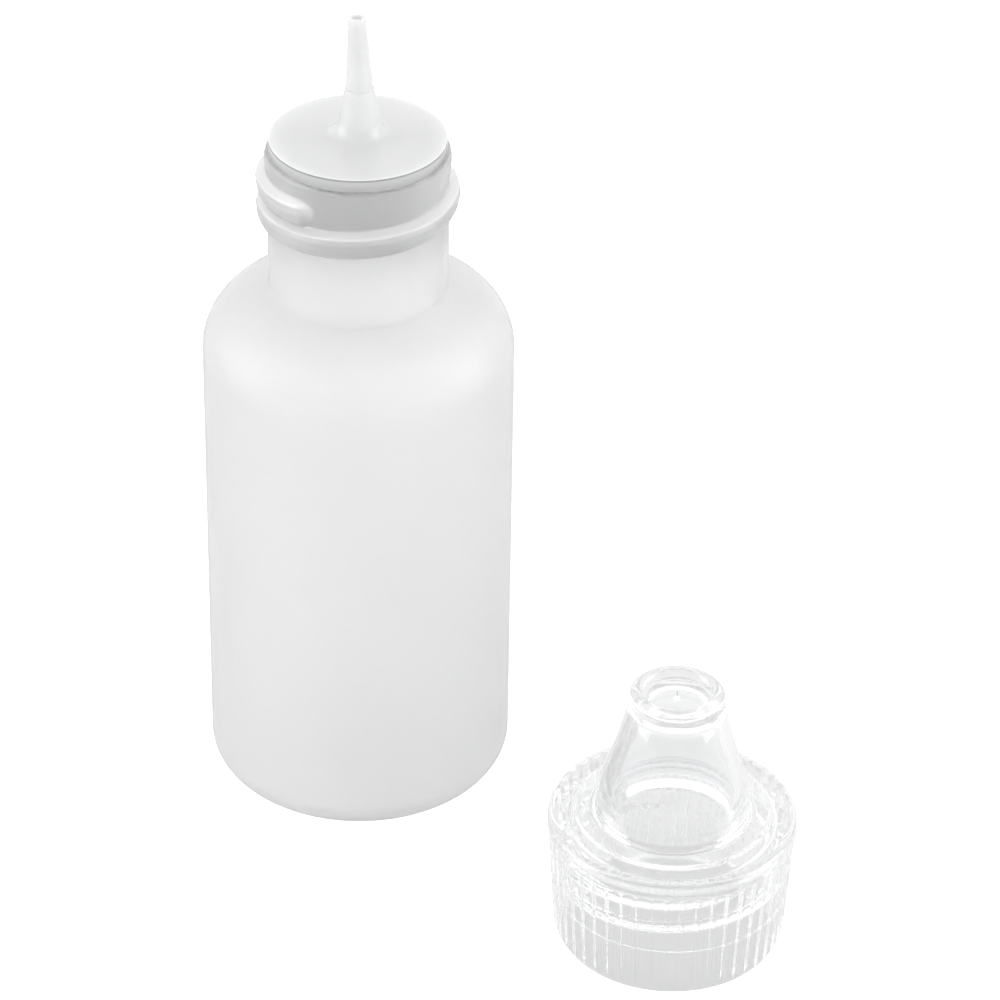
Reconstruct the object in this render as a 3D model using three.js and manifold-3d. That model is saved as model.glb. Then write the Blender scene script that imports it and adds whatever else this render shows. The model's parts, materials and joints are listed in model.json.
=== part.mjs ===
// A squeeze dropper bottle: a blow-moulded bottle with a threaded neck, a dropper tip pressed into
// the neck, and a clear screw cap that stands beside the bottle.
// Millimetres, +Z up. The origin is the centre of the bottle's flat base, and -Y is the front.
import * as THREE from 'three';
import { mergeVertices } from 'three/addons/utils/BufferGeometryUtils.js';
import Module from 'manifold-3d';

const wasm = await Module();
wasm.setup();

// ---- driving dimensions ----
const BODY_RADIUS = 11.5;
const BASE_CORNER = 2.6;
const SHOULDER_START = 36.65; // height where the straight side ends
const SHOULDER_RADIUS = 4.67;
const SHOULDER_TURN = 62; // degrees of arc before the shoulder runs straight up to the neck
const NECK_START = 42;
const NECK_RADIUS = 6.55;
const NECK_CREASE = 0.13; // how far the foot of the neck stands out at the shoulder
const COLLAR_RADIUS = 6.72; // the neck is slightly stouter above its thread
const COLLAR_START = 50.7;
const RIM_HEIGHT = 52.9;
const BODY_WALL = 0.8;
const NECK_BORE = 5.5;

const PITCH = 25.4 / 12; // twelve threads to the inch, as on a 15 mm neck
const THREAD_RADIUS = 7.38;
const THREAD_HEIGHT = 48.97; // height of the bead's middle at the front of the neck
const THREAD_FROM = -171; // degrees, counted from the front
const THREAD_TO = 333;
// The bead's section: how far each corner stands out, from 0 to 1, and its height from the middle.
const THREAD_SECTION = [[0, -0.92], [0.6, -0.75], [0.9, -0.32], [1, 0.3], [0.87, 0.68], [0, 0.95]];

const TIP_GAP = 0.3; // between the tip and the neck
const FLANGE_RADIUS = 6.45;
const FLANGE_UNDER = RIM_HEIGHT + TIP_GAP;
const FLANGE_TOP = 54.1;
const CROWN_RISE = 0.3; // how much the flange's top rises from its edge to the spout
const SKIRT_RADIUS = NECK_BORE - TIP_GAP;
const SKIRT_WALL = 0.8;
const SKIRT_FOOT = 47.5;
const SPOUT_TOP = 63.7;
const SPOUT_END_RADIUS = 0.65;
const SPOUT_STEP = 58; // height where the slim end leaves the stouter foot
const SPOUT_STEP_RADIUS = 1.08;
const SPOUT_BORE = 0.35;
const SPOUT_BORE_FOOT = 0.7;

const CAP_PLACE = [23.54, -21.46]; // where the cap stands beside the bottle
const SKIRT_FOOT_RADIUS = 8.39; // between the ribs
const SKIRT_TOP_RADIUS = 8.9;
const FOOT_FLAT_RADIUS = 8; // the skirt's foot is flat out to here, then rounds up to the ribs
const FOOT_ROUND_HEIGHT = 0.9;
const RING_RADIUS = 9.11;
const RING_UNDER = 9.1;
const RING_TOP = 10.5;
const RING_BEVEL = 0.5;
const TERRACE_RADIUS = 7; // a low step on the shoulder, inside the ring
const TERRACE_HEIGHT = 10.75;
const BELL_RADIUS = 5.55; // the upright foot of the hollow cone
const BELL_FOOT = 11.1;
const CONE_START = 12.8;
const CONE_END = 20;
const CONE_END_RADIUS = 3.5;
const CAP_HEIGHT = 21.3;
const LIP_DROP = 0.4; // the lip falls away from its inner edge to its outer edge
const RECESS_RADIUS = 2.53;
const RECESS_DEPTH = 0.8;
const CAP_BORE = 7.65;
const COUNTERBORE = 7.75;
const COUNTERBORE_DEPTH = 3.85;
const CAP_CEILING = 9.3;
const CAP_WALL = 1;
const CAP_THREAD_RADIUS = 6.95;
const CAP_THREAD_HEIGHT = 6.1; // height of the bead's middle at the front of the cap
const CAP_THREAD_FROM = -183;
const CAP_THREAD_TO = 393;
const CAP_THREAD_SECTION = [[0, -0.5], [1, -0.13], [1, 0.13], [0, 0.5]];
const RIB_COUNT = 48;
const RIB_PROUD = 0.14;
const RIB_WIDTH = 0.3;

const ROUND_STEPS = 60; // facets round the bottle and the cap
const TIP_STEPS = 40;
const THREAD_STEP = 6; // degrees of thread to a facet, the same as round the neck
const SINK = 0.15; // how deep a bead or rib is rooted in its wall, so that the join is solid

const degrees = (angle) => THREE.MathUtils.degToRad(angle);

// ---- solids ----

// Turns a three.js geometry into a closed solid with shared corners.
function solid(geometry) {
  const bare = geometry.clone();
  bare.deleteAttribute('normal');
  bare.deleteAttribute('uv');
  const merged = mergeVertices(bare, 1e-5);
  return new wasm.Manifold(new wasm.Mesh({
    numProp: 3,
    vertProperties: new Float32Array(merged.attributes.position.array),
    triVerts: new Uint32Array(merged.index.array),
  }));
}

// Turns a solid back into a three.js geometry.
function geometryOf(body) {
  const mesh = body.getMesh();
  const geometry = new THREE.BufferGeometry();
  geometry.setAttribute('position', new THREE.BufferAttribute(new Float32Array(mesh.vertProperties), 3));
  geometry.setIndex(new THREE.BufferAttribute(new Uint32Array(mesh.triVerts), 1));
  geometry.computeVertexNormals();
  return geometry;
}

// Spins an outline of [radius, height] points about the Z axis. The outline runs anticlockwise as
// seen with the radius to the right, and either starts and ends on the axis or closes on itself.
function spin(outline, steps) {
  const lathe = new THREE.LatheGeometry(outline.map(([r, z]) => new THREE.Vector2(r, z)), steps);
  return solid(lathe.rotateX(Math.PI / 2));
}

// Points along an arc in the [radius, height] plane; angles are in degrees.
function arc(centre, radius, from, to, steps) {
  const points = [];
  for (let step = 0; step <= steps; step += 1) {
    const angle = degrees(from + ((to - from) * step) / steps);
    points.push([centre[0] + radius * Math.cos(angle), centre[1] + radius * Math.sin(angle)]);
  }
  return points;
}

// A straight bar of the bead's section, extruded with one step for each facet and then wound onto
// a helix. It stands on `root` and reaches `crest`, which is smaller than root inside a cap. The
// bead swells to its full size over `fadeIn` and `fadeOut` degrees at its two ends. An outside
// bead is wound from its far end, so that its faces point out of it as an inside bead's do.
function bead({ root, crest, section, height, from, to, fadeIn, fadeOut }) {
  const proudest = crest - root;
  const sink = Math.sign(proudest) * SINK;
  const [first, last] = proudest > 0 ? [to, from] : [from, to];
  const outline = new THREE.Shape(section.map(([proud, rise]) => new THREE.Vector2(proud, rise)));
  const steps = Math.round((to - from) / THREAD_STEP);
  const bar = new THREE.ExtrudeGeometry(outline, { depth: 1, steps, bevelEnabled: false });
  const place = bar.attributes.position;
  for (let corner = 0; corner < place.count; corner += 1) {
    const turned = THREE.MathUtils.lerp(first, last, place.getZ(corner));
    const swell = THREE.MathUtils.clamp(Math.min((turned - from) / fadeIn, (to - turned) / fadeOut), 0.1, 1);
    const proud = place.getX(corner);
    const radius = proud > 0 ? root + proudest * proud * swell : root - sink;
    const angle = degrees(turned - 90);
    const rise = height + (PITCH * turned) / 360 + place.getY(corner) * (0.4 + 0.6 * swell);
    place.setXYZ(corner, radius * Math.cos(angle), radius * Math.sin(angle), rise);
  }
  return solid(bar);
}

// ---- bottle ----

const shoulderCentre = [BODY_RADIUS - SHOULDER_RADIUS, SHOULDER_START];
const baseCentre = [BODY_RADIUS - BASE_CORNER, BASE_CORNER];

function bottleOutside() {
  return [
    [0, 0],
    ...arc(baseCentre, BASE_CORNER, -90, 0, 5),
    ...arc(shoulderCentre, SHOULDER_RADIUS, 0, SHOULDER_TURN, 6),
    [NECK_RADIUS + NECK_CREASE, NECK_START],
    [NECK_RADIUS, NECK_START + NECK_CREASE],
    [NECK_RADIUS, COLLAR_START],
    [COLLAR_RADIUS, COLLAR_START + 1.5],
    [COLLAR_RADIUS, RIM_HEIGHT - 0.2],
    [COLLAR_RADIUS - 0.2, RIM_HEIGHT],
  ];
}

function bottleInside() {
  return [
    [NECK_BORE, RIM_HEIGHT],
    [NECK_BORE, NECK_START - 0.3],
    ...arc(shoulderCentre, SHOULDER_RADIUS - BODY_WALL, SHOULDER_TURN, 0, 5),
    ...arc(baseCentre, BASE_CORNER - BODY_WALL, 0, -90, 4),
    [0, BODY_WALL],
  ];
}

function bottle() {
  const walls = spin([...bottleOutside(), ...bottleInside()], ROUND_STEPS);
  const thread = bead({
    root: NECK_RADIUS,
    crest: THREAD_RADIUS,
    section: THREAD_SECTION,
    height: THREAD_HEIGHT,
    from: THREAD_FROM,
    to: THREAD_TO,
    fadeIn: 40,
    fadeOut: 16,
  });
  return walls.add(thread);
}

// ---- dropper tip ----

// The spout's outside, from the flange's edge up to its open end.
function tipOutside() {
  const crown = FLANGE_TOP + CROWN_RISE;
  return [
    [FLANGE_RADIUS, FLANGE_UNDER],
    [FLANGE_RADIUS, FLANGE_TOP - 0.2],
    [FLANGE_RADIUS - 0.2, FLANGE_TOP],
    [3.2, crown - 0.05],
    [2.1, crown],
    [1.75, crown + 0.2],
    [1.55, crown + 0.75],
    [1.36, crown + 1.8],
    [SPOUT_STEP_RADIUS, SPOUT_STEP - 0.1],
    [SPOUT_STEP_RADIUS - 0.1, SPOUT_STEP + 0.1],
    [SPOUT_END_RADIUS, SPOUT_TOP],
  ];
}

// The bore through the spout and the hollow inside the skirt, from the open end down.
function tipInside() {
  const hollowRadius = SKIRT_RADIUS - SKIRT_WALL;
  return [
    [SPOUT_BORE, SPOUT_TOP],
    [SPOUT_BORE, SPOUT_STEP],
    [SPOUT_BORE_FOOT, FLANGE_TOP + 0.6],
    [1.5, FLANGE_UNDER + 0.1],
    [hollowRadius - 0.5, FLANGE_UNDER - 0.2],
    [hollowRadius, FLANGE_UNDER - 0.7],
    [hollowRadius, SKIRT_FOOT],
    [SKIRT_RADIUS - 0.3, SKIRT_FOOT],
    [SKIRT_RADIUS, SKIRT_FOOT + 0.6],
    [SKIRT_RADIUS, FLANGE_UNDER],
  ];
}

function tip() {
  const outside = tipOutside();
  return spin([...outside, ...tipInside(), outside[0]], TIP_STEPS);
}

// ---- screw cap ----

// The rounded outer edge of the skirt's foot, a quarter of an ellipse.
function footRound() {
  const points = arc([0, 1], 1, -90, 0, 3);
  return points.map(([across, up]) => [
    FOOT_FLAT_RADIUS + across * (SKIRT_FOOT_RADIUS - FOOT_FLAT_RADIUS),
    up * FOOT_ROUND_HEIGHT,
  ]);
}

// From the foot of the skirt up over the ring, the shoulder, the cone and the lip to the recess.
function capOutside() {
  return [
    [COUNTERBORE, 0],
    ...footRound(),
    [SKIRT_TOP_RADIUS, RING_UNDER],
    [RING_RADIUS, RING_UNDER + 0.1],
    [RING_RADIUS, RING_TOP - RING_BEVEL],
    [RING_RADIUS - RING_BEVEL, RING_TOP],
    [TERRACE_RADIUS + 0.2, RING_TOP],
    [TERRACE_RADIUS, TERRACE_HEIGHT],
    [BELL_RADIUS + 0.4, TERRACE_HEIGHT],
    [BELL_RADIUS, BELL_FOOT],
    [BELL_RADIUS, CONE_START - 0.3],
    [BELL_RADIUS - 0.2, CONE_START + 0.6],
    [CONE_END_RADIUS, CONE_END],
    [CONE_END_RADIUS, CAP_HEIGHT - LIP_DROP],
    [RECESS_RADIUS + 0.4, CAP_HEIGHT],
    [RECESS_RADIUS, CAP_HEIGHT],
    [RECESS_RADIUS - 0.1, CAP_HEIGHT - RECESS_DEPTH],
    [0, CAP_HEIGHT - RECESS_DEPTH],
  ];
}

function capInside() {
  const roof = CAP_HEIGHT - RECESS_DEPTH - CAP_WALL;
  return [
    [0, roof],
    [CONE_END_RADIUS - CAP_WALL - 0.4, roof],
    [CONE_END_RADIUS - CAP_WALL, roof - 0.5],
    [BELL_RADIUS - CAP_WALL - 0.1, CONE_START + 0.3],
    [BELL_RADIUS - CAP_WALL, CONE_START - 0.5],
    [BELL_RADIUS - CAP_WALL, CAP_CEILING],
    [CAP_BORE, CAP_CEILING],
    [CAP_BORE, COUNTERBORE_DEPTH],
    [COUNTERBORE, COUNTERBORE_DEPTH - 0.15],
  ];
}

// A thin upright rib that follows the skirt's slope, rooted in the skirt and in the ring.
function rib(number) {
  const foot = FOOT_ROUND_HEIGHT + 0.05;
  const head = RING_UNDER + 0.3;
  const shape = new THREE.Shape();
  shape.moveTo(SKIRT_FOOT_RADIUS - SINK, foot);
  shape.lineTo(SKIRT_FOOT_RADIUS + RIB_PROUD, foot);
  shape.lineTo(SKIRT_TOP_RADIUS + RIB_PROUD, head);
  shape.lineTo(SKIRT_TOP_RADIUS - SINK, head);
  shape.closePath();
  const bar = new THREE.ExtrudeGeometry(shape, { depth: RIB_WIDTH, bevelEnabled: false });
  bar.translate(0, 0, -RIB_WIDTH / 2);
  bar.rotateX(Math.PI / 2);
  bar.rotateZ((2 * Math.PI * (number + 0.5)) / RIB_COUNT);
  return solid(bar);
}

function screwCap() {
  const outside = capOutside();
  let cap = spin([...outside, ...capInside(), outside[0]], ROUND_STEPS);
  cap = cap.add(bead({
    root: CAP_BORE,
    crest: CAP_THREAD_RADIUS,
    section: CAP_THREAD_SECTION,
    height: CAP_THREAD_HEIGHT,
    from: CAP_THREAD_FROM,
    to: CAP_THREAD_TO,
    fadeIn: 30,
    fadeOut: 30,
  }));
  for (let number = 0; number < RIB_COUNT; number += 1) {
    cap = cap.add(rib(number));
  }
  return cap;
}

// ---- materials ----

function bottlePlastic() {
  return new THREE.MeshStandardMaterial({ color: 0xe9eaeb, roughness: 0.42, metalness: 0 });
}

function tipPlastic() {
  return new THREE.MeshStandardMaterial({ color: 0xe2e3e4, roughness: 0.3, metalness: 0 });
}

function capPlastic() {
  return new THREE.MeshStandardMaterial({ color: 0xf4f6f7, roughness: 0.06, metalness: 0 });
}

// ---- the object ----

function piece(name, body, material) {
  const mesh = new THREE.Mesh(geometryOf(body), material);
  mesh.name = name;
  return mesh;
}

const object = new THREE.Group();
object.add(piece('bottle', bottle(), bottlePlastic()));
object.add(piece('dropper_tip', tip(), tipPlastic()));

const cap = piece('screw_cap', screwCap(), capPlastic());
cap.position.set(CAP_PLACE[0], CAP_PLACE[1], 0);
object.add(cap);

export default object;
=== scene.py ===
"""A squeeze dropper bottle: translucent bottle, moulded dropper tip and clear screw cap.

Sizes are in millimetres, turned into metres as each mesh is made. The bottle stands on the
origin with its front towards -Y, and the cap stands where the frame has it.
"""

import json
import math

import bpy
import numpy as np
from mathutils import Matrix, Vector


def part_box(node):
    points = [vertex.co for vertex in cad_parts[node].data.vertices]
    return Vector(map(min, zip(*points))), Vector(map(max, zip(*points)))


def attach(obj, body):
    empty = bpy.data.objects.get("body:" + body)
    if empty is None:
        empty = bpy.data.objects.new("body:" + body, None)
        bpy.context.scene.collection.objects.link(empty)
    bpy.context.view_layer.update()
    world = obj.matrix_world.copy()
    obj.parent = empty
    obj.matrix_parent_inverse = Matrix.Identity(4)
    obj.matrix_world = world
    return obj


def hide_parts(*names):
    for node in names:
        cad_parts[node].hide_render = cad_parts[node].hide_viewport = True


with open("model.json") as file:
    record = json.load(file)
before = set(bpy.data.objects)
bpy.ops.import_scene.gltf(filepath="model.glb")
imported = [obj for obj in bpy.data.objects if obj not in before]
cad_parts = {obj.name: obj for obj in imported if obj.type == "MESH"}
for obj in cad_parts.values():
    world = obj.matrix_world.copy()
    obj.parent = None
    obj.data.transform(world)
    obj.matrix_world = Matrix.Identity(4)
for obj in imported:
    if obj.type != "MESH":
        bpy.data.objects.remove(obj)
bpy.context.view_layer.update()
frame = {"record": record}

MM = 0.001
SCENE = bpy.context.scene


def box_mm(node):
    """The corners of a node's box, in millimetres."""
    low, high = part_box(node)
    return low / MM, high / MM


# ---- dimensions taken from the frame ----
bottle_low, bottle_high = box_mm("bottle")
tip_low, tip_high = box_mm("dropper_tip")
cap_low, cap_high = box_mm("screw_cap")
BODY_RADIUS = (bottle_high.x - bottle_low.x) / 2
RIM_HEIGHT = bottle_high.z
FLANGE_RADIUS = (tip_high.x - tip_low.x) / 2
SKIRT_FOOT = tip_low.z
SPOUT_TOP = tip_high.z
CAP_CENTRE = (cap_low + cap_high) / 2
CAP_HEIGHT = cap_high.z

# ---- dimensions of the bottle ----
BODY_WALL = 0.8
BASE_CORNER = 2.6
SHOULDER_START = 36.65
SHOULDER_RADIUS = 4.67
SHOULDER_TURN = 62
NECK_START = 42.0
NECK_RADIUS = 6.55
NECK_BORE = 5.5
COLLAR_RADIUS = 6.72
COLLAR_START = 50.7
BASE_DISH = 0.15  # how far the middle of the base is dished in
SEAM_PROUD = 0.035  # the mould's parting line, down both sides and across the base
SEAM_WIDTH = 0.16
BASE_SEAM = 0.09  # how far that line stands down from the dish
BASE_SEAM_REACH = 6

PITCH = 25.4 / 12
THREAD_PROUD = 0.83
THREAD_HEIGHT = 48.97
THREAD_TURNS = (-171, 333)
THREAD_FADES = (40, 9)
FLANK_STEP = 0.1  # the bead's slope is measured over this height
FLANK_GAIN = 8
THREAD_SECTION = ((-1.22, 0), (-0.82, 0.62), (-0.32, 0.9), (0.3, 1), (0.72, 0.87), (1.03, 0))

# ---- dimensions of the tip ----
SPOUT_FOOT_RADIUS = 2.4
CUT_SLANT = 0.05
CUT_REACH = 0.35  # how far down from the spout's end the slant of its cut is taken up
CUT_TURN = 0.6

# ---- dimensions of the cap ----
CAP_BORE = 7.65
CAP_CEILING = 9.3
COUNTERBORE_DEPTH = 3.85
RECESS_RADIUS = 2.53
RECESS_FLOOR = CAP_HEIGHT - 0.8
GATE_TOP = RECESS_FLOOR + 0.62  # the pip left by the mould's gate
SKIRT_FOOT_RADIUS = 8.39
SKIRT_TOP_RADIUS = 8.9
RING_UNDER = 9.1
CAP_THREAD_PROUD = 0.7
CAP_THREAD_HEIGHT = 6.1
CAP_THREAD_TURNS = (-183, 393)
CAP_THREAD_FADES = (30, 30)
CAP_THREAD_SECTION = ((-0.5, 0), (-0.16, 1), (0.16, 1), (0.5, 0))
RIB_COUNT = 48
RIB_PROUD = 0.14
RIB_WIDTH = 0.32
RIB_FOOT = 0.45  # the ribs rise out of the skirt from here up
RIB_RISE = 0.5
RIB_PITCH = 2 * math.pi / RIB_COUNT  # radians
RIB_HALF = RIB_WIDTH / 2 / SKIRT_TOP_RADIUS  # radians

# ---- looks ----
SCATTER = 1.2 * MM  # how far light spreads inside the polyethylene
BODY_CLEARNESS = 0.58
NECK_CLEARNESS = 0.77
FLANK_CLEARNESS = 0.5  # on the upper slope of the neck's thread
NECK_ROUGHNESS = 0.29
# Painted shade on the tip: its skirt, which sits in the neck, and its flange's side are painted darker than
# its top, and a darker line is painted along the top of the flange's side.
SKIRT_PAINTED_SHADE = (0.76, 0.762, 0.765)
SIDE_PAINTED_SHADE = (0.75, 0.75, 0.75)
EDGE_PAINTED_LINE = (0.42, 0.42, 0.42)
TOP_UNSHADED = (1, 1, 1)
PAINTED_SHADE_HEIGHT = 1.3  # the tip's painted shade runs up this far from the neck's rim
TIP_PAINTED_SHADES = (  # at shares of that height: painted shade on the skirt and the flange's side, a darker line painted at the flange's edge, and the unshaded top
    (0, SKIRT_PAINTED_SHADE), (0.1, SIDE_PAINTED_SHADE), (0.76, SIDE_PAINTED_SHADE),
    (0.81, EDGE_PAINTED_LINE), (0.88, EDGE_PAINTED_LINE), (0.905, TOP_UNSHADED),
)

# ---- camera and light ----
CAMERA_PLACE = (10.595, -284.153, 210.125)
CAMERA_PITCH = 33.345  # degrees below level
CAMERA_ROLL = 0.9314  # degrees
CAMERA_LENS = 162.51
TENT_BRIGHT_WAY = (0, 0.75, 0.6)
TENT_TURNS_FROM = -0.6  # along the bright way, where the tent starts to brighten
TENT_TURNS_TO = 0.9
TENT_FRONT = 0.58
TENT_BACK = 1.43
FLOOR_GLOW = 0.53
FLOOR_LIFT = 0.8  # how much brighter the floor looks to the camera than it lights the object
LIT_POINT = (0.01, -0.01, 0.035)  # where the lamps face, in metres
LAMP_DISTANCE = 0.5  # in metres, as the lamps' sizes are
SIDE_POWER = 1.22
FILL_POWER = 1.5
LIGHT_BOUNCES = 32


# ---- outlines: lists of (radius, height) ----

def arc(centre, radius, start, end, steps):
    """Points on an arc, with the angles in degrees."""
    angles = np.radians(np.linspace(start, end, steps + 1))
    return [(centre[0] + radius * math.cos(a), centre[1] + radius * math.sin(a)) for a in angles]


def rounded(corners, steps=5):
    """A line through corners of (radius, height, rounding), each rounded off by that distance."""
    points = [corners[0][:2]]
    for before, corner, after in zip(corners, corners[1:], corners[2:]):
        here = Vector(corner[:2])
        size = corner[2] if len(corner) > 2 else 0
        if size == 0:
            points.append(tuple(here))
            continue
        back, ahead = Vector(before[:2]) - here, Vector(after[:2]) - here
        start = here + back.normalized() * min(size, back.length / 2)
        end = here + ahead.normalized() * min(size, ahead.length / 2)
        for step in range(steps + 1):
            t = step / steps
            points.append(tuple(start.lerp(here, t).lerp(here.lerp(end, t), t)))
    points.append(corners[-1][:2])
    return points


def smooth_curve(points, steps=6):
    """A Catmull-Rom curve through the points."""
    ends = [points[0], *points, points[-1]]
    curve = []
    for a, b, c, d in zip(ends, ends[1:], ends[2:], ends[3:]):
        a, b, c, d = (np.array(p, float) for p in (a, b, c, d))
        for step in range(steps):
            t = step / steps
            point = (2 * b + (c - a) * t + (2 * a - 5 * b + 4 * c - d) * t**2
                     + (3 * b - a - 3 * c + d) * t**3) / 2
            curve.append(tuple(point))
    return [*curve, points[-1]]


def refined(outline, low, high, spacing):
    """The outline with extra points between the heights low and high, no further apart than spacing."""
    points = [outline[0]]
    for (r0, z0), (r1, z1) in zip(outline, outline[1:]):
        inside = low <= max(z0, z1) and min(z0, z1) <= high
        pieces = max(1, math.ceil(math.hypot(r1 - r0, z1 - z0) / spacing)) if inside else 1
        for step in range(1, pieces + 1):
            t = step / pieces
            points.append((r0 + (r1 - r0) * t, z0 + (z1 - z0) * t))
    return points


def even_angles(count, seams=()):
    """Angles all the way round, in radians, with extra ones on both sides of each seam."""
    angles = {round(2 * math.pi * n / count, 6) for n in range(count)}
    for seam in seams:
        for offset in (-0.024, -0.018, -0.013, -0.009, -0.005, 0.005, 0.009, 0.013, 0.018):
            angles.add(round((seam + offset) % (2 * math.pi), 6))
    return sorted(angles)


def turned(name, outline, angles, form=None, closed=False):
    """A mesh made by turning the outline round the Z axis. form(radius, height, angle) moves its points.
    The outline runs anticlockwise with the radius to the right, and joins its ends if it is closed."""
    rings, points = [], []
    for radius, height in outline:
        on_axis = radius < 1e-6
        ring = []
        for angle in angles[:1] if on_axis else angles:
            x, y, z = form(radius, height, angle) if form else plain(radius, height, angle)
            ring.append(len(points))
            points.append((x * MM, y * MM, z * MM))
        rings.append(ring * len(angles) if on_axis else ring)
    pairs = list(zip(rings, rings[1:]))
    if closed:
        pairs.append((rings[-1], rings[0]))
    faces = []
    for lower, upper in pairs:
        for here in range(len(angles)):
            there = (here + 1) % len(angles)
            corners = (lower[here], lower[there], upper[there], upper[here])
            face = tuple(dict.fromkeys(corners))
            if len(face) > 2:
                faces.append(face)
    mesh = bpy.data.meshes.new(name)
    mesh.from_pydata(points, [], faces)
    mesh.shade_smooth()
    mesh.update()
    piece = bpy.data.objects.new(name, mesh)
    SCENE.collection.objects.link(piece)
    return piece


def plain(radius, height, angle):
    return radius * math.cos(angle), radius * math.sin(angle), height


# ---- screw threads as a smooth swelling of a wall ----

def thread(section, height, turns, fades, smoothing=0.09):
    """Returns swell(angle, z), from 0 on the bare wall to 1 on the bead's crest.
    Turns are the degrees from the front at which the bead starts and ends."""
    offsets = np.linspace(-1.6, 1.6, 321)
    sharp = np.interp(offsets, [p[0] for p in section], [p[1] for p in section], 0, 0)
    width = max(1, round(smoothing / (offsets[1] - offsets[0])))
    window = np.hanning(2 * width + 3)
    profile = np.convolve(sharp, window / window.sum(), "same")
    first, last = turns

    def swell(angle, z):
        bearing = math.degrees(angle) + 90
        best = 0.0
        for lap in range(-3, 4):
            along = bearing + 360 * lap
            if not first <= along <= last:
                continue
            size = min(1, (along - first) / fades[0], (last - along) / fades[1])
            size = math.sin(size * math.pi / 2)
            offset = (z - height - PITCH * along / 360) / (0.4 + 0.6 * size)
            best = max(best, size * float(np.interp(offset, offsets, profile)))
        return best

    return swell


# ---- bottle ----

def bottle_outline():
    shoulder = (BODY_RADIUS - SHOULDER_RADIUS, SHOULDER_START)
    base = (BODY_RADIUS - BASE_CORNER, BASE_CORNER)
    outside = [
        *smooth_curve([(0, BASE_DISH), (3.5, BASE_DISH), (6.2, 0.11), (7.6, 0.02), (8.4, 0)], 4),
        *arc(base, BASE_CORNER, -84, 0, 18),
        *arc(shoulder, SHOULDER_RADIUS, 0, SHOULDER_TURN, 28),
        *rounded([
            arc(shoulder, SHOULDER_RADIUS, 0, SHOULDER_TURN, 1)[-1],
            (NECK_RADIUS + 0.03, NECK_START + 0.02, 0.16),
            (NECK_RADIUS, COLLAR_START),
            (COLLAR_RADIUS, COLLAR_START + 1.5, 0.4),
            (COLLAR_RADIUS, RIM_HEIGHT + 0.1, 0.14),
            (NECK_BORE, RIM_HEIGHT + 0.1, 0.2),
            (NECK_BORE, NECK_START - 0.1, 0.6),
            arc(shoulder, SHOULDER_RADIUS - BODY_WALL, SHOULDER_TURN, 0, 1)[0],
        ])[1:-1],
    ]
    inside = [
        *arc(shoulder, SHOULDER_RADIUS - BODY_WALL, SHOULDER_TURN, 0, 14),
        *arc(base, BASE_CORNER - BODY_WALL, 0, -84, 10),
        (6.2, BODY_WALL + 0.3),
        (0, BODY_WALL + BASE_DISH),
    ]
    whole = refined([*outside, *inside], 0.3, SHOULDER_START, 1.5)
    return refined(whole, THREAD_HEIGHT - 2.6, THREAD_HEIGHT + 3.6, 0.055)


def make_bottle():
    swell = thread(THREAD_SECTION, THREAD_HEIGHT, THREAD_TURNS, THREAD_FADES)
    flank = []  # at each point, how far it is on the upper slope of the thread's bead, from 0 to 1

    def form(radius, height, angle):
        outer = radius > NECK_BORE + 0.5
        threaded = outer and height > NECK_START + 1
        bead = swell(angle, height) if threaded else 0
        slope = (bead - swell(angle, height + FLANK_STEP)) if threaded else 0
        flank.append(min(1, max(0, FLANK_GAIN * slope)))
        radius += THREAD_PROUD * bead
        across = radius * math.sin(angle)
        seam = math.exp(-((across / SEAM_WIDTH) ** 2))
        corner = radius > BODY_RADIUS - 0.3
        if radius < BODY_RADIUS - 0.05 and (corner or (outer and height > SHOULDER_START)):
            radius += SEAM_PROUD * seam
        if height < BASE_DISH + 0.01 and radius < BASE_SEAM_REACH:
            height -= BASE_SEAM * seam
        return plain(radius, height, angle)

    shell = turned("bottle_shell", bottle_outline(), even_angles(300, (0, math.pi)), form)
    upper = shell.data.attributes.new("flank", "FLOAT", "POINT")
    upper.data.foreach_set("value", flank)
    return shell


# ---- dropper tip ----

def tip_outline():
    crown = smooth_curve([
        (6.3, 54.11), (5, 54.2), (3.5, 54.3), (2.5, 54.38), (2.12, 54.5), (1.86, 54.72),
        (1.67, 55.0), (1.49, 55.45), (1.36, 56.24), (1.21, 57.06), (1.1, 57.86),
    ])
    spout = smooth_curve([(0.985, 58.14), (0.94, 58.9), (0.84, 60.3), (0.75, 61.85), (0.655, 63.45)])
    flange_under = RIM_HEIGHT + 0.13
    skirt = NECK_BORE - 0.06
    outside = [
        *rounded([
            (FLANGE_RADIUS, flange_under + 0.1),
            (FLANGE_RADIUS, 54.1, 0.14),
            crown[0],
        ])[:-1],
        *crown,
        *rounded([crown[-1], (1.07, 58.0, 0.05), (0.99, 58.06, 0.05), spout[0]])[1:-1],
        *spout,
        *rounded([spout[-1], (0.63, SPOUT_TOP, 0.1), (0.36, SPOUT_TOP, 0.08), (0.35, 63)])[1:],
    ]
    inside = rounded([
        (0.35, 63), (0.35, 58, 0.5), (0.7, 54.7, 0.3), (1.5, 53.3, 0.3), (3.9, 53.0, 0.4), (4.4, 52.5, 0.4),
        (4.4, SKIRT_FOOT, 0.1), (4.9, SKIRT_FOOT, 0.15), (skirt, SKIRT_FOOT + 0.6, 0.3),
        (skirt, flange_under, 0.1), (FLANGE_RADIUS - 0.1, flange_under, 0.0),
        (FLANGE_RADIUS, flange_under + 0.1),
    ])[1:-1]
    return [*outside, *inside]


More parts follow.
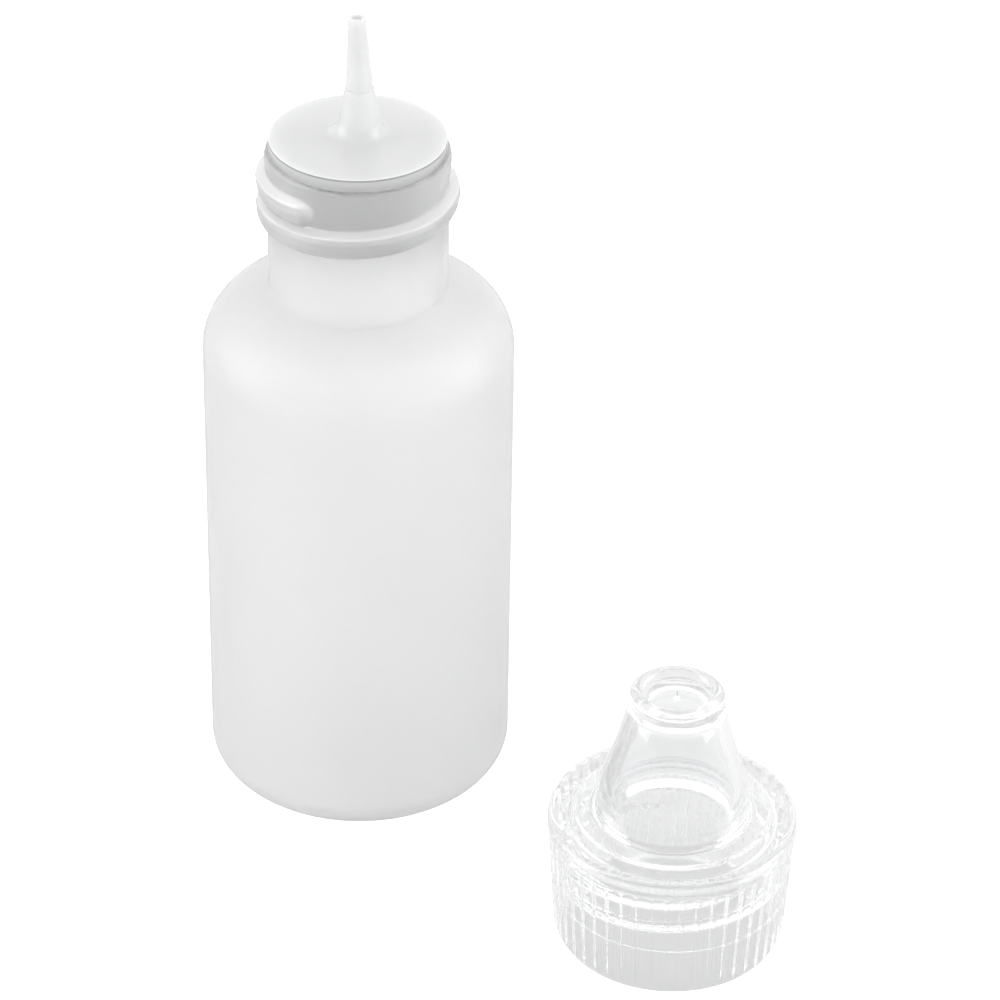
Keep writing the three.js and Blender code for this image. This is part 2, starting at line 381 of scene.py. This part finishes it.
def make_tip():
    """The tip, whose spout leans a little to one side and is cut off at a slight slant."""
    lean_heights = (54.4, 55.6, 58, SPOUT_TOP)
    lean = (0, 0.1, 0.13, -0.04)

    def form(radius, height, angle):
        x, y, z = plain(radius, height, angle)
        if radius < SPOUT_FOOT_RADIUS:
            x += float(np.interp(height, lean_heights, lean))
        if height > SPOUT_TOP - CUT_REACH:
            z -= CUT_SLANT * (1 + math.sin(angle + CUT_TURN)) * (height - SPOUT_TOP + CUT_REACH) / CUT_REACH
        return x, y, z

    return turned("tip_moulding", tip_outline(), even_angles(160), form, closed=True)


# ---- screw cap ----

def cap_outline():
    outside = rounded([
        (7.75, 0), (8.1, 0, 0.2), (SKIRT_FOOT_RADIUS, 0.5, 0.35), (SKIRT_FOOT_RADIUS + 0.02, 1.0),
        (SKIRT_TOP_RADIUS, RING_UNDER, 0.1), (9.11, RING_UNDER + 0.1, 0.08), (9.11, 10.5, 0.6),
        (7.2, 10.5, 0.1), (7.0, 10.75, 0.1), (5.95, 10.8, 0.2), (5.55, 11.2, 0.3), (5.52, 12.9, 0.9),
        (4.31, 16.5, 1.5), (3.5, 20, 0.9), (3.47, CAP_HEIGHT - 0.35, 0.25), (2.9, CAP_HEIGHT - 0.02, 0.3),
        (RECESS_RADIUS, CAP_HEIGHT - 0.03, 0.12), (RECESS_RADIUS - 0.1, RECESS_FLOOR, 0.2),
        (0.3, RECESS_FLOOR, 0.02), (0.1, RECESS_FLOOR + 0.35, 0.05), (0.07, GATE_TOP, 0.03),
        (0, GATE_TOP),
    ])
    roof = RECESS_FLOOR - 1
    inside = rounded([
        (0, roof), (2.4, roof, 0.7), (3.25, 16.7, 1.5), (4.4, 13.2, 0.9), (4.55, 12.2, 0.5),
        (4.55, CAP_CEILING, 0.25), (CAP_BORE, CAP_CEILING, 0.3), (CAP_BORE, COUNTERBORE_DEPTH, 0.05),
        (7.75, COUNTERBORE_DEPTH - 0.12, 0.05), (7.75, 0, 0.08), (8.1, 0),
    ])[:-1]
    return thread_refined(refined([*outside, *inside], 1.1, RING_UNDER - 0.05, 0.5))


def thread_refined(outline):
    """The cap's outline with close points along its threaded bore only."""
    points = [outline[0]]
    for start, end in zip(outline, outline[1:]):
        on_bore = abs(start[0] - CAP_BORE) < 0.01 and abs(end[0] - CAP_BORE) < 0.01
        points.extend(refined([start, end], 0, CAP_CEILING, 0.06)[1:] if on_bore else [end])
    return points


def rib_angles():
    """Columns of the cap's mesh: close together over each rib, and a few across each panel."""
    offsets = (-1.6, -1.15, -0.8, -0.45, 0, 0.45, 0.8, 1.15, 1.6)
    panel = (0.3, 0.4, 0.5, 0.6, 0.7)
    angles = []
    for number in range(RIB_COUNT):
        centre = (number + 0.5) * RIB_PITCH
        angles += [centre + RIB_HALF * offset for offset in offsets]
        angles += [centre + RIB_PITCH * share for share in panel]
    return sorted(angle % (2 * math.pi) for angle in angles)


def make_cap():
    swell = thread(CAP_THREAD_SECTION, CAP_THREAD_HEIGHT, CAP_THREAD_TURNS, CAP_THREAD_FADES, 0.06)

    def form(radius, height, angle):
        if abs(radius - CAP_BORE) < 0.01 and COUNTERBORE_DEPTH < height < CAP_CEILING - 0.1:
            radius -= CAP_THREAD_PROUD * swell(angle, height)
        elif radius > SKIRT_FOOT_RADIUS - 0.05 and height < RING_UNDER + 0.02:
            off = abs((angle / RIB_PITCH) % 1 - 0.5) * RIB_PITCH / RIB_HALF
            crest = max(0, 1 - (off / 1.5) ** 2)
            foot = min(1, max(0, (height - RIB_FOOT) / RIB_RISE))
            radius += RIB_PROUD * crest * foot
        return plain(radius, height, angle)

    cap = turned("cap_moulding", cap_outline(), rib_angles(), form)
    cap.data.transform(Matrix.Translation((CAP_CENTRE.x * MM, CAP_CENTRE.y * MM, 0)))
    return cap


# ---- materials ----

class Finish:
    """A material with one Principled shader, and short ways to make the nodes that feed it."""

    def __init__(self, name, **settings):
        self.material = bpy.data.materials.new(name)
        self.material.use_nodes = True
        self.nodes = self.material.node_tree.nodes
        self.links = self.material.node_tree.links
        self.shader = self.nodes["Principled BSDF"]
        for socket, value in settings.items():
            self.shader.inputs[socket.replace("_", " ")].default_value = value

    def feed(self, source, socket):
        self.links.new(source, self.shader.inputs[socket])

    def place(self):
        return self.nodes.new("ShaderNodeTexCoord").outputs["Object"]

    def height(self):
        split = self.nodes.new("ShaderNodeSeparateXYZ")
        self.links.new(self.place(), split.inputs["Vector"])
        return split.outputs["Z"]

    def attribute(self, name):
        reader = self.nodes.new("ShaderNodeAttribute")
        reader.attribute_name = name
        return reader.outputs["Fac"]

    def noise(self, scale, detail, stretch=(1, 1, 1)):
        """A noise texture in object space; scale is in cycles to the metre."""
        mapping = self.nodes.new("ShaderNodeMapping")
        mapping.inputs["Scale"].default_value = stretch
        self.links.new(self.place(), mapping.inputs["Vector"])
        texture = self.nodes.new("ShaderNodeTexNoise")
        texture.inputs["Scale"].default_value = scale
        texture.inputs["Detail"].default_value = detail
        self.links.new(mapping.outputs["Vector"], texture.inputs["Vector"])
        return texture.outputs["Fac"]

    def spread(self, source, low, high, start=0.0, end=1.0):
        """Takes start..end to low..high, where low may be a socket."""
        node = self.nodes.new("ShaderNodeMapRange")
        node.inputs["From Min"].default_value = start
        node.inputs["From Max"].default_value = end
        node.inputs["To Max"].default_value = high
        if isinstance(low, bpy.types.NodeSocket):
            self.links.new(low, node.inputs["To Min"])
        else:
            node.inputs["To Min"].default_value = low
        self.links.new(source, node.inputs["Value"])
        return node.outputs["Result"]

    def mottle(self, texture, low, high):
        """Spreads a noise texture, which seldom leaves 0.3 to 0.7, over low to high."""
        return self.spread(texture, low, high, 0.3, 0.7)

    def tint(self, source, dark, light):
        """Mixes two colours by a 0 to 1 value."""
        mix = self.nodes.new("ShaderNodeMix")
        mix.data_type = "RGBA"
        mix.inputs["A"].default_value = (*dark, 1)
        mix.inputs["B"].default_value = (*light, 1)
        self.links.new(source, mix.inputs["Factor"])
        return mix.outputs["Result"]

    def times(self, colour, shade):
        """Multiplies two colours."""
        mix = self.nodes.new("ShaderNodeMix")
        mix.data_type = "RGBA"
        mix.blend_type = "MULTIPLY"
        mix.inputs["Factor"].default_value = 1
        self.links.new(shade, mix.inputs["A"])
        self.links.new(colour, mix.inputs["B"])
        return mix.outputs["Result"]

    def ramp(self, source, stops):
        """A ramp of colours, from (position, colour) stops."""
        ramp = self.nodes.new("ShaderNodeValToRGB")
        elements = ramp.color_ramp.elements
        first, *between, last = stops
        for element, (position, colour) in zip(elements, (first, last)):
            element.position = position
            element.color = (*colour, 1)
        for position, colour in between:
            elements.new(position).color = (*colour, 1)
        self.links.new(source, ramp.inputs["Fac"])
        return ramp.outputs["Color"]

    def bump(self, *layers):
        """Bump from noise layers of (texture, strength, distance)."""
        normal = None
        for texture, strength, distance in layers:
            node = self.nodes.new("ShaderNodeBump")
            node.inputs["Strength"].default_value = strength
            node.inputs["Distance"].default_value = distance
            self.links.new(texture, node.inputs["Height"])
            if normal:
                self.links.new(normal, node.inputs["Normal"])
            normal = node.outputs["Normal"]
        self.feed(normal, "Normal")


def bottle_plastic():
    """Translucent low-density polyethylene: milky, waxy, and faintly uneven as blow-moulded walls are.
    The neck is clearer and smoother than the body, except on the upper slope of its thread."""
    finish = Finish(
        "milky_polyethylene", IOR=1.51, Subsurface_Weight=1.0,
        Subsurface_Radius=(SCATTER, SCATTER, SCATTER), Subsurface_Scale=1.0,
    )
    cloud = finish.noise(120, 4)
    grain = finish.noise(2600, 2)
    ripple = finish.noise(160, 2, stretch=(1, 1, 0.35))
    finish.feed(finish.tint(cloud, (0.965, 0.967, 0.969), (0.985, 0.986, 0.987)), "Base Color")
    neck = finish.spread(finish.height(), 0.0, 1.0, (NECK_START + 3) * MM, (NECK_START + 6) * MM)
    waxy = finish.mottle(cloud, 0.46, 0.54)
    finish.feed(finish.spread(neck, waxy, NECK_ROUGHNESS), "Roughness")
    clear = finish.spread(neck, BODY_CLEARNESS, NECK_CLEARNESS)
    finish.feed(finish.spread(finish.attribute("flank"), clear, FLANK_CLEARNESS), "Transmission Weight")
    finish.bump((ripple, 0.2, 0.2 * MM), (grain, 0.1, 0.02 * MM))
    return finish.material


def tip_plastic():
    """The tip's moulded polyethylene: smoother and denser than the bottle, with painted shade that makes it
    darker below its top.
    """
    finish = Finish(
        "dense_polyethylene", IOR=1.51, Transmission_Weight=0.25, Subsurface_Weight=1.0,
        Subsurface_Radius=(SCATTER, SCATTER, SCATTER), Subsurface_Scale=1.0,
    )
    cloud = finish.noise(220, 4)
    grain = finish.noise(3200, 2)
    level = finish.spread(finish.height(), 0.0, 1.0, RIM_HEIGHT * MM, (RIM_HEIGHT + PAINTED_SHADE_HEIGHT) * MM)
    white = finish.tint(cloud, (0.72, 0.723, 0.726), (0.75, 0.753, 0.755))
    # painted shade: the tip's colour is multiplied by the darker greys of its skirt and flange side, and by
    # the line painted at the flange's edge
    finish.feed(finish.times(white, finish.ramp(level, TIP_PAINTED_SHADES)), "Base Color")
    finish.feed(finish.mottle(cloud, 0.2, 0.26), "Roughness")
    finish.bump((grain, 0.06, 0.01 * MM))
    return finish.material


def cap_plastic():
    """Clear polystyrene, with faint flow marks and a light haze."""
    finish = Finish("clear_polystyrene", IOR=1.58, Transmission_Weight=1.0)
    flow = finish.noise(180, 3, stretch=(1, 1, 0.3))
    haze = finish.noise(500, 4)
    finish.feed(finish.tint(haze, (0.935, 0.939, 0.943), (0.955, 0.958, 0.961)), "Base Color")
    finish.feed(finish.mottle(haze, 0.04, 0.09), "Roughness")
    finish.bump((flow, 0.2, 0.1 * MM))
    return finish.material


# ---- surroundings ----

def sky():
    """A light tent: brightest above and behind, and darker towards the front."""
    world = bpy.data.worlds.new("tent")
    SCENE.world = world
    world.use_nodes = True
    nodes, links = world.node_tree.nodes, world.node_tree.links
    nodes["Background"].inputs["Color"].default_value = (1, 1, 1, 1)
    place = nodes.new("ShaderNodeTexCoord")
    towards = nodes.new("ShaderNodeVectorMath")
    towards.operation = "DOT_PRODUCT"
    towards.inputs[1].default_value = TENT_BRIGHT_WAY
    links.new(place.outputs["Generated"], towards.inputs[0])
    spread = nodes.new("ShaderNodeMapRange")
    spread.interpolation_type = "SMOOTHSTEP"
    spread.inputs["From Min"].default_value = TENT_TURNS_FROM
    spread.inputs["From Max"].default_value = TENT_TURNS_TO
    spread.inputs["To Min"].default_value = TENT_FRONT
    spread.inputs["To Max"].default_value = TENT_BACK
    links.new(towards.outputs["Value"], spread.inputs["Value"])
    links.new(spread.outputs["Result"], nodes["Background"].inputs["Strength"])


def soft_box(name, azimuth, elevation, width, height, power):
    """An area light that faces the objects. Azimuth 0 is in front, and 90 to the right."""
    light = bpy.data.lights.new(name, "AREA")
    light.shape = "RECTANGLE"
    light.size = width
    light.size_y = height
    light.energy = power
    lamp = bpy.data.objects.new(name, light)
    SCENE.collection.objects.link(lamp)
    a, e = math.radians(azimuth), math.radians(elevation)
    outward = Vector((math.sin(a) * math.cos(e), -math.cos(a) * math.cos(e), math.sin(e)))
    lamp.location = Vector(LIT_POINT) + outward * LAMP_DISTANCE
    lamp.rotation_mode = "QUATERNION"
    lamp.rotation_quaternion = outward.to_track_quat("Z", "Y")
    return lamp


def lights():
    """A soft box on each side, and a fill in front that makes no highlights."""
    soft_box("left_box", -88, 8, 0.32, 0.5, SIDE_POWER)
    soft_box("right_box", 88, 10, 0.32, 0.5, SIDE_POWER)
    fill = soft_box("front_fill", 0, 8, 0.7, 0.12, FILL_POWER)
    fill.visible_glossy = False
    fill.visible_transmission = False


def floor():
    """A plain white floor, bright enough of its own that the object leaves hardly a shadow."""
    half = 3.0
    level = -0.05 * MM  # just clear of the bottle's base and the cap's foot
    corners = [(-half, -half, level), (half, -half, level), (half, half, level), (-half, half, level)]
    mesh = bpy.data.meshes.new("floor")
    mesh.from_pydata(corners, [], [(0, 1, 2, 3)])
    plane = bpy.data.objects.new("floor", mesh)
    SCENE.collection.objects.link(plane)
    finish = Finish(
        "floor_white", Base_Color=(0.3, 0.3, 0.3, 1), Roughness=0.8, Emission_Color=(1, 1, 1, 1),
    )
    seen = finish.nodes.new("ShaderNodeLightPath").outputs["Is Camera Ray"]
    finish.feed(finish.spread(seen, FLOOR_GLOW, FLOOR_GLOW + FLOOR_LIFT), "Emission Strength")
    mesh.materials.append(finish.material)


def camera():
    """Looks down on the front at the angle of a hand-held product shot."""
    pitch, roll = math.radians(CAMERA_PITCH), math.radians(CAMERA_ROLL)
    forward = Vector((0, math.cos(pitch), -math.sin(pitch)))
    up = Vector((0, math.sin(pitch), math.cos(pitch)))
    right = Vector((1, 0, 0))
    data = bpy.data.cameras.new("camera")
    data.sensor_width = 36
    data.lens = CAMERA_LENS
    data.clip_start = 0.01
    data.clip_end = 20
    eye = bpy.data.objects.new("camera", data)
    SCENE.collection.objects.link(eye)
    across = right * math.cos(roll) + up * math.sin(roll)
    upright = up * math.cos(roll) - right * math.sin(roll)
    x, y, z = (value * MM for value in CAMERA_PLACE)
    eye.matrix_world = Matrix((
        (across.x, upright.x, -forward.x, x),
        (across.y, upright.y, -forward.y, y),
        (across.z, upright.z, -forward.z, z),
        (0, 0, 0, 1),
    ))
    SCENE.camera = eye


def light_paths():
    """Long light paths, because light is reflected many times inside the clear cap."""
    SCENE.cycles.use_denoising = True
    SCENE.cycles.max_bounces = LIGHT_BOUNCES
    SCENE.cycles.glossy_bounces = LIGHT_BOUNCES
    SCENE.cycles.transmission_bounces = LIGHT_BOUNCES


camera()
sky()
floor()
lights()
light_paths()
SCENE.view_settings.view_transform = "Standard"

for make, node, finish in (
    (make_bottle, "bottle", bottle_plastic),
    (make_tip, "dropper_tip", tip_plastic),
    (make_cap, "screw_cap", cap_plastic),
):
    piece = make()
    piece.data.materials.append(finish())
    body = next(name for name, nodes in frame["record"]["behaviour"]["bodies"].items() if node in nodes)
    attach(piece, body)
    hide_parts(node)
